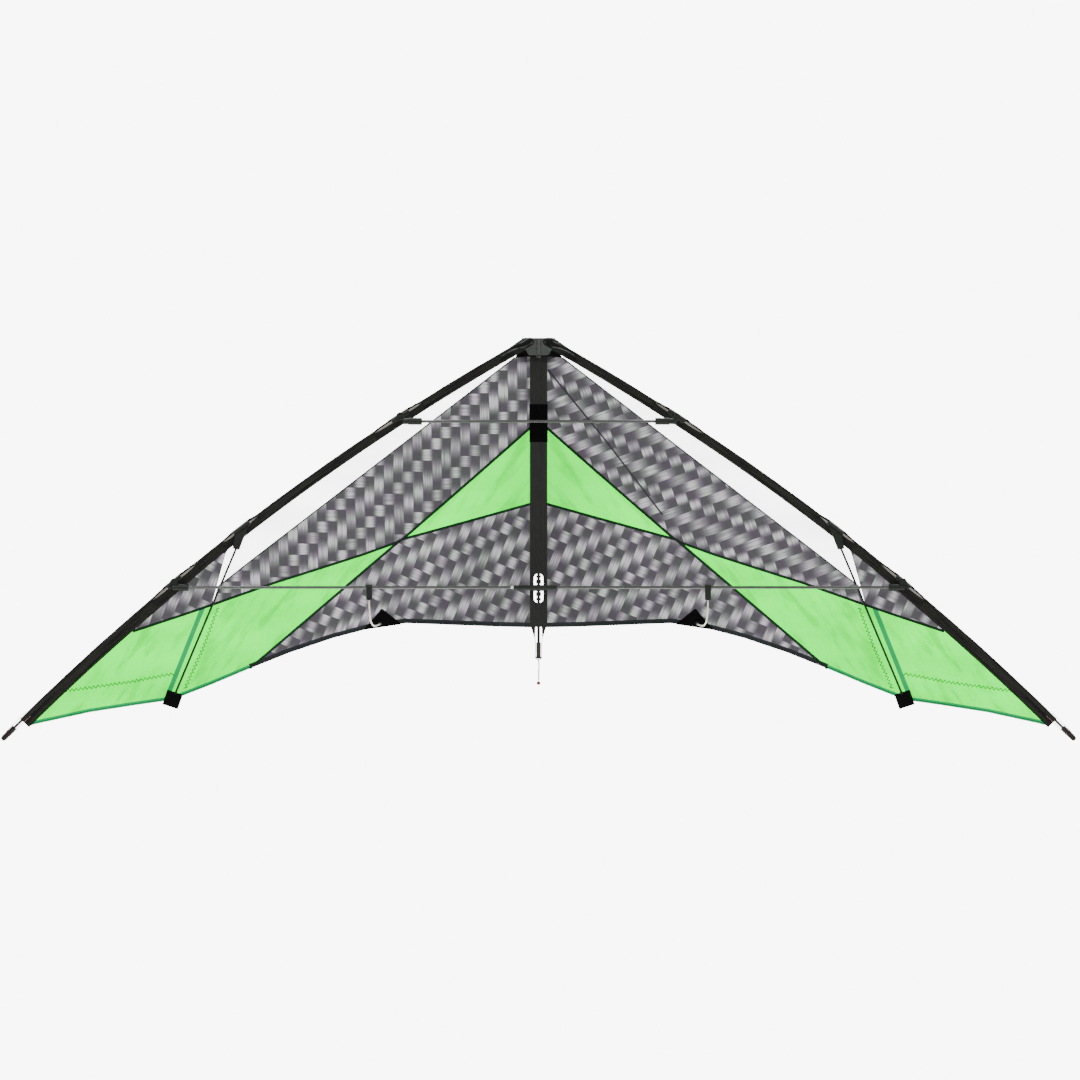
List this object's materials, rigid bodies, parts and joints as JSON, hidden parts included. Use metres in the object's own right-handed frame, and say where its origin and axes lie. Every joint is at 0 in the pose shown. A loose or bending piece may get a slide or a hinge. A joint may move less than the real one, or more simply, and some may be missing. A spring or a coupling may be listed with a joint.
{
  "type": "dual-line delta kite",
  "caption": "Dual-line sport delta kite with a bowed leading edge, spreaders, whiskers and standoffs; the wings fold in to the spine.",
  "frame": {"origin": "the middle of the lower spreader in the centre T, on the kite's symmetry plane, where the bridle gathers", "axes": "+X to the right wing tip as the flyer sees it, +Y away from the flyer (the sail bellies that way), +Z along the spine to the nose"},
  "size_m": [2.2476, 0.2214, 0.8427],
  "materials": {
    "clear_white_sailcloth": "thin translucent ripstop",
    "green_sailcloth": "thin bright ripstop",
    "woven_print_sailcloth": "ripstop printed with a wide woven pattern",
    "black_dacron": "heavy woven tape",
    "grey_spreader_tube": "wrapped grey-olive tube",
    "black_carbon_rod": "polished dark tube",
    "cream_fibreglass": "thin pultruded rod",
    "line": "braided white line with a red fleck",
    "red_bead": "smooth",
    "end_cap_plastic": "moulded",
    "moulded_fitting": "moulded, slightly soft"
  },
  "bodies": {
    "frame_body": {"nose_connector": "moulded_fitting", "nose_patch": "black_dacron", "spine_rod": "black_carbon_rod", "spine_sleeve": "black_dacron", "spine_band": "black_dacron", "spine_end_cap": "end_cap_plastic", "spine_string": "line", "tail_string": "line", "tail_bead": "red_bead", "centre_t": "moulded_fitting", "spine_clips": "moulded_fitting", "left_sail_white": "clear_white_sailcloth", "right_sail_white": "clear_white_sailcloth", "left_sail_grey_upper": "woven_print_sailcloth", "right_sail_grey_upper": "woven_print_sailcloth", "left_sail_green_upper": "green_sailcloth", "right_sail_green_upper": "green_sailcloth", "left_sail_green_lower": "green_sailcloth", "right_sail_green_lower": "green_sailcloth", "left_sail_grey_centre": "woven_print_sailcloth", "right_sail_grey_centre": "woven_print_sailcloth"},
    "left_wing": {"left_nose_lug": "moulded_fitting", "left_le_rod": "black_carbon_rod", "left_le_sleeve": "black_dacron", "left_upper_hub": "moulded_fitting", "left_lower_hub": "moulded_fitting", "left_whisker_clip": "moulded_fitting", "left_whisker_rod": "black_carbon_rod", "left_whisker_patch": "black_dacron", "left_tip_cap": "end_cap_plastic", "left_tip_string": "line", "left_tip_grey": "woven_print_sailcloth", "left_tip_green": "green_sailcloth"},
    "right_wing": {"right_nose_lug": "moulded_fitting", "right_le_rod": "black_carbon_rod", "right_le_sleeve": "black_dacron", "right_upper_fork": "moulded_fitting", "right_lower_hub": "moulded_fitting", "right_whisker_clip": "moulded_fitting", "right_whisker_rod": "black_carbon_rod", "right_whisker_patch": "black_dacron", "right_tip_cap": "end_cap_plastic", "right_tip_string": "line", "right_tip_grey": "woven_print_sailcloth", "right_tip_green": "green_sailcloth"},
    "left_spreader": {"left_lower_spreader": "grey_spreader_tube", "left_socket_arm": "moulded_fitting", "left_standoff_clip": "moulded_fitting"},
    "right_spreader": {"right_lower_spreader": "grey_spreader_tube", "right_socket_arm": "moulded_fitting", "right_standoff_clip": "moulded_fitting"},
    "upper_bar": {"upper_spreader": "grey_spreader_tube", "upper_socket": "moulded_fitting"},
    "left_standoff": {"left_standoff_rod": "cream_fibreglass", "left_te_socket": "moulded_fitting", "left_te_patch": "black_dacron"},
    "right_standoff": {"right_standoff_rod": "cream_fibreglass", "right_te_socket": "moulded_fitting", "right_te_patch": "black_dacron"}
  },
  "joints": [
    {"name": "left_wing_fold", "type": "hinge", "parent": "frame_body", "child": "left_wing", "pos_m": [-0.026, 0, 0.51568], "axis": [0, -1, 0], "range_deg": [0, 40], "deforming": ["left_sail_white", "left_sail_grey_upper", "left_sail_green_upper", "left_sail_green_lower", "left_sail_grey_centre"]},
    {"name": "right_wing_fold", "type": "hinge", "parent": "frame_body", "child": "right_wing", "pos_m": [0.026, 0, 0.51568], "axis": [0, 1, 0], "range_deg": [0, 40], "deforming": ["right_sail_white", "right_sail_grey_upper", "right_sail_green_upper", "right_sail_green_lower", "right_sail_grey_centre"]},
    {"name": "left_spreader_swing", "type": "hinge", "parent": "left_wing", "child": "left_spreader", "pos_m": [-0.761, -0.011, 0.01096], "axis": [0, -1, 0], "range_deg": [0, 33]},
    {"name": "right_spreader_swing", "type": "hinge", "parent": "right_wing", "child": "right_spreader", "pos_m": [0.761, -0.011, 0.01096], "axis": [0, 1, 0], "range_deg": [0, 33]},
    {"name": "upper_bar_swing", "type": "hinge", "parent": "left_wing", "child": "upper_bar", "pos_m": [-0.2885, -0.021, 0.35739], "axis": [0, 1, 0], "range_deg": [0, 124.5]},
    {"name": "left_standoff_fold", "type": "hinge", "parent": "frame_body", "child": "left_standoff", "pos_m": [-0.026, 0, 0.51568], "axis": [0, -1, 0], "range_deg": [0, 22.1]},
    {"name": "right_standoff_fold", "type": "hinge", "parent": "frame_body", "child": "right_standoff", "pos_m": [0.026, 0, 0.51568], "axis": [0, 1, 0], "range_deg": [0, 22.1]}
  ],
  "couplings": [
    {"joint": "left_spreader_swing", "follows": "left_wing_fold", "ratio": 0.82},
    {"joint": "right_spreader_swing", "follows": "right_wing_fold", "ratio": 0.82},
    {"joint": "upper_bar_swing", "follows": "left_wing_fold", "ratio": 3.1},
    {"joint": "left_standoff_fold", "follows": "left_wing_fold", "ratio": 0.55},
    {"joint": "right_standoff_fold", "follows": "right_wing_fold", "ratio": 0.55}
  ]
}
